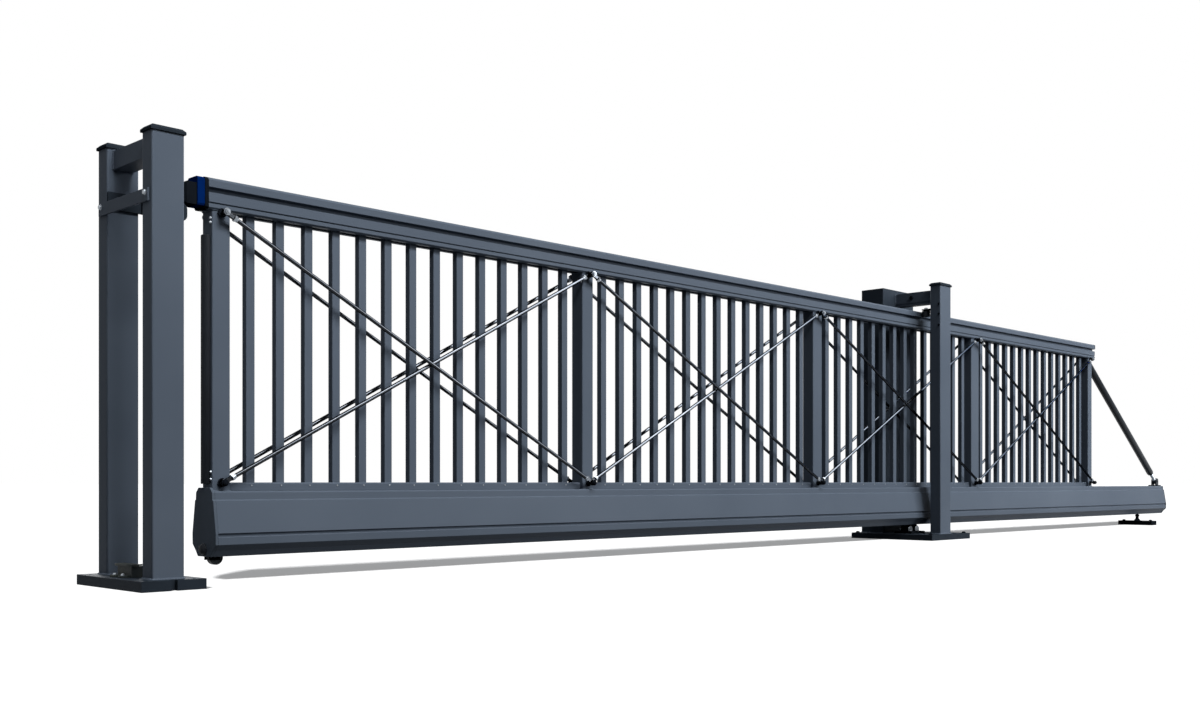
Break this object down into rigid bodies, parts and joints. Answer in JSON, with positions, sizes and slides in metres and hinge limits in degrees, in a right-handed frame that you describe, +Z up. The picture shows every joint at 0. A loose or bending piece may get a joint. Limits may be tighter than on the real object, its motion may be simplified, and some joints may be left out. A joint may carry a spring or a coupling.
{
  "type": "sliding driveway gate",
  "caption": "Cantilever sliding driveway gate with a picket leaf on a hollow bottom rail, tie-rod bracing, a receiving portal and a guide portal with a drive column.",
  "frame": {"origin": "centre of the guide portal between its uprights, on the underside of its base plate at ground level", "axes": "+X along the leaf towards its tail, +Y across the leaf towards the drive column, +Z up"},
  "size_m": [10.561, 0.658, 1.827],
  "materials": {
    "anthracite_coat": "satin powder coat",
    "black_coat": "satin powder coat",
    "rod_coat": "semi-gloss coat",
    "black_trim": "matt",
    "bright_steel": "bright",
    "roller_nylon": "smooth",
    "blue_plastic": "smooth",
    "edge_rubber": "matt"
  },
  "bodies": {
    "ground_frame": {"drive_column": "anthracite_coat", "drive_column_lid": "anthracite_coat", "front_carriage": "black_coat", "front_carriage_wheels": "roller_nylon", "guide_arm_front": "black_coat", "guide_arm_rear": "black_coat", "guide_bar_strip": "anthracite_coat", "guide_base_plate": "anthracite_coat", "guide_crossbar": "anthracite_coat", "guide_front_cap": "black_trim", "guide_front_post": "anthracite_coat", "guide_roller_front": "roller_nylon", "guide_roller_rear": "roller_nylon", "landing_shoe": "black_coat", "rear_base_plate": "black_coat", "rear_carriage": "black_coat", "rear_carriage_wheels": "roller_nylon", "receiver_base_plate": "anthracite_coat", "receiver_crossbar": "anthracite_coat", "receiver_front_cap": "black_trim", "receiver_front_post": "anthracite_coat", "receiver_guide_pads": "black_trim", "receiver_rear_cap": "black_trim", "receiver_rear_post": "anthracite_coat", "receiver_strap": "anthracite_coat"},
    "leaf": {"bottom_rail": "anthracite_coat", "bracing_pins": "black_coat", "end_wheel_fork": "black_coat", "front_rail_cap": "black_trim", "lower_channels": "anthracite_coat", "nose_block": "blue_plastic", "nose_plate": "black_trim", "nose_tip": "black_trim", "pickets_bay_1": "anthracite_coat", "pickets_bay_2": "anthracite_coat", "pickets_bay_3": "anthracite_coat", "pickets_bay_4": "anthracite_coat", "rod_eyes_back": "rod_coat", "rod_eyes_front": "rod_coat", "safety_edge": "edge_rubber", "stile_1": "anthracite_coat", "stile_2": "anthracite_coat", "stile_3": "anthracite_coat", "stile_4": "anthracite_coat", "stile_5": "anthracite_coat", "strut_bracket": "black_coat", "strut_eye": "black_coat", "strut_screw": "bright_steel", "tail_rail_cap": "black_trim", "tail_strut": "black_coat", "tie_rods_back": "rod_coat", "tie_rods_front": "rod_coat", "top_rail": "anthracite_coat", "top_rail_tail_cap": "anthracite_coat"},
    "end_wheel_body": {"end_wheel": "roller_nylon"}
  },
  "joints": [
    {"name": "leaf_slide", "type": "slide", "parent": "ground_frame", "child": "leaf", "axis": [1, 0, 0], "range_m": [-0.3, 5.2]},
    {"name": "end_wheel_spin", "type": "hinge", "parent": "leaf", "child": "end_wheel_body", "pos_m": [-5.544, 0, 0.1], "axis": [0, 1, 0], "continuous": true}
  ]
}
